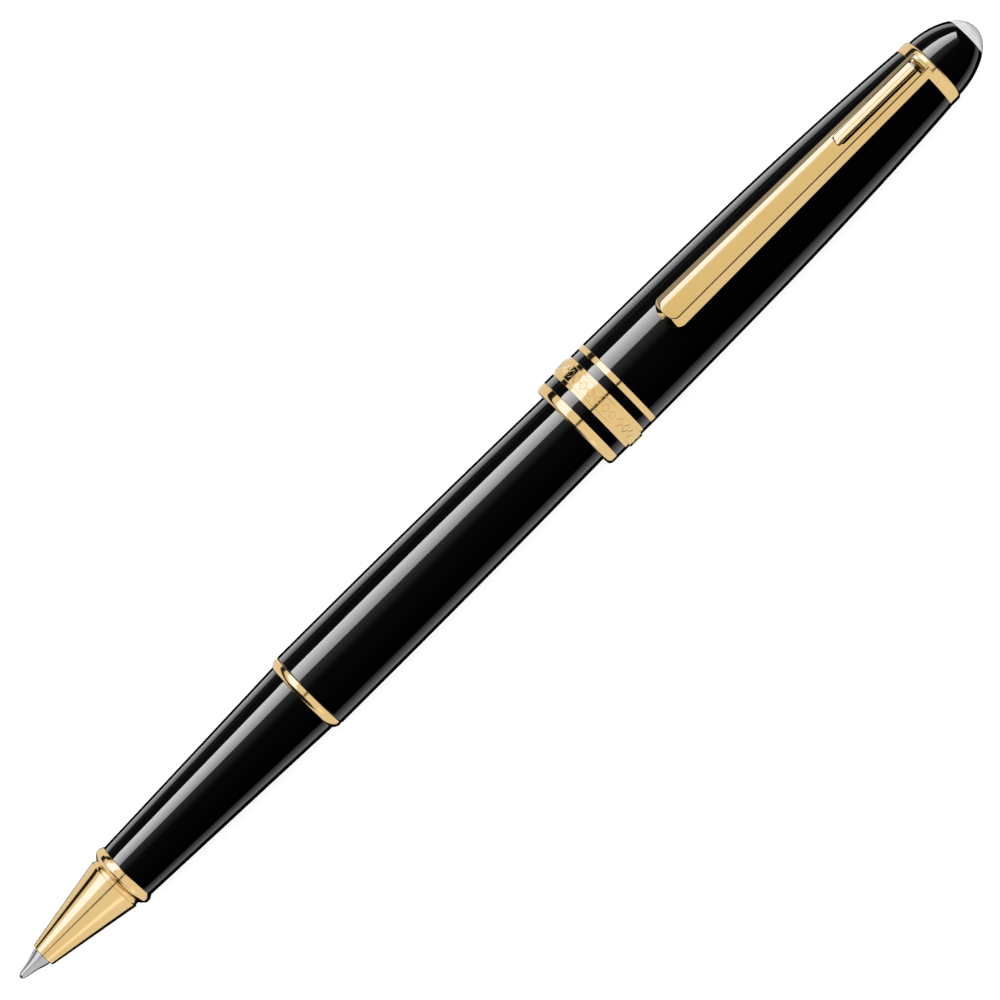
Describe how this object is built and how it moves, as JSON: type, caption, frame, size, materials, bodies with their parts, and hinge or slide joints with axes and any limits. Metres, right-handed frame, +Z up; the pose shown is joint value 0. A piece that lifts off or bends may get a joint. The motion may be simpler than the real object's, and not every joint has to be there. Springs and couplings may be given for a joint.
{
  "type": "rollerball pen",
  "caption": "Rollerball pen with a gilt nose cone and trim rings, a tapering black resin barrel and a posted pull-off cap with a sprung pocket clip.",
  "frame": {"origin": "bottom centre of the whole pen's box, under the wide band, with the pen lying level", "axes": "+X along the pen's axis towards the crown, so the writing ball points to -X; +Z up, towards the clip"},
  "size_m": [0.154, 0.0124, 0.0142],
  "materials": {
    "resin": "deep black resin, polished to a high gloss",
    "gilt": "gold plate on brass, polished",
    "raw_brass": "plain turned brass",
    "point_steel": "turned steel, satin",
    "ball": "hard metal ball, ground",
    "tube_steel": "drawn steel tube",
    "spring_steel": "bright spring wire",
    "collar_plastic": "moulded, off-white",
    "liner_plastic": "moulded, dark grey",
    "ink_fibre": "bonded fibre soaked in dark blue ink",
    "pearl": "pearl-white, polished"
  },
  "bodies": {
    "barrel": {"barrel": "resin", "barrel_bush": "raw_brass", "spring_seat": "liner_plastic", "refill_spring": "spring_steel"},
    "centre_ring": {"centre_ring": "gilt"},
    "front_section": {"nose_cone": "gilt", "grip_section": "resin", "threaded_sleeve": "raw_brass"},
    "refill": {"refill_point": "point_steel", "refill_collar": "collar_plastic", "refill_tube": "tube_steel", "ink_reservoir": "ink_fibre", "ink_feed": "ink_fibre", "refill_end_plug": "liner_plastic"},
    "ball": {"writing_ball": "ball"},
    "cap": {"lip_ring": "gilt", "front_spacer": "resin", "wide_band": "gilt", "rear_spacer": "resin", "thin_band": "gilt", "cap_tube": "resin", "cap_liner": "liner_plastic", "clip_ring": "gilt", "crown": "resin", "crown_screw": "raw_brass", "crown_inlay": "pearl"},
    "clip": {"clip": "gilt"}
  },
  "joints": [
    {"name": "section_advance", "type": "slide", "parent": "barrel", "child": "centre_ring", "axis": [-1, 0, 0], "range_m": [0, 0.007], "deforming": ["refill_spring"]},
    {"name": "section_turn", "type": "hinge", "parent": "centre_ring", "child": "front_section", "pos_m": [-0.0316, 0, 0.00619], "axis": [1, 0, 0], "range_deg": [0, 2520]},
    {"name": "refill_slide", "type": "slide", "parent": "centre_ring", "child": "refill", "axis": [1, 0, 0], "range_m": [0, 0.0008], "stiffness_N_per_m": 400, "springref_m": -0.006, "deforming": ["refill_spring"]},
    {"name": "ball_roll", "type": "hinge", "parent": "refill", "child": "ball", "pos_m": [-0.07665, 0, 0.00619], "axis": [0, 1, 0], "continuous": true},
    {"name": "cap_slide", "type": "slide", "parent": "barrel", "child": "cap", "axis": [1, 0, 0], "range_m": [0, 0.034]},
    {"name": "clip_flex", "type": "hinge", "parent": "cap", "child": "clip", "pos_m": [0.06945, 0, 0.01062], "axis": [0, 1, 0], "range_deg": [0, 4], "stiffness_Nm_per_rad": 1.6}
  ],
  "couplings": [
    {"joint": "section_turn", "follows": "section_advance", "rad_per_m": 6283.2}
  ]
}
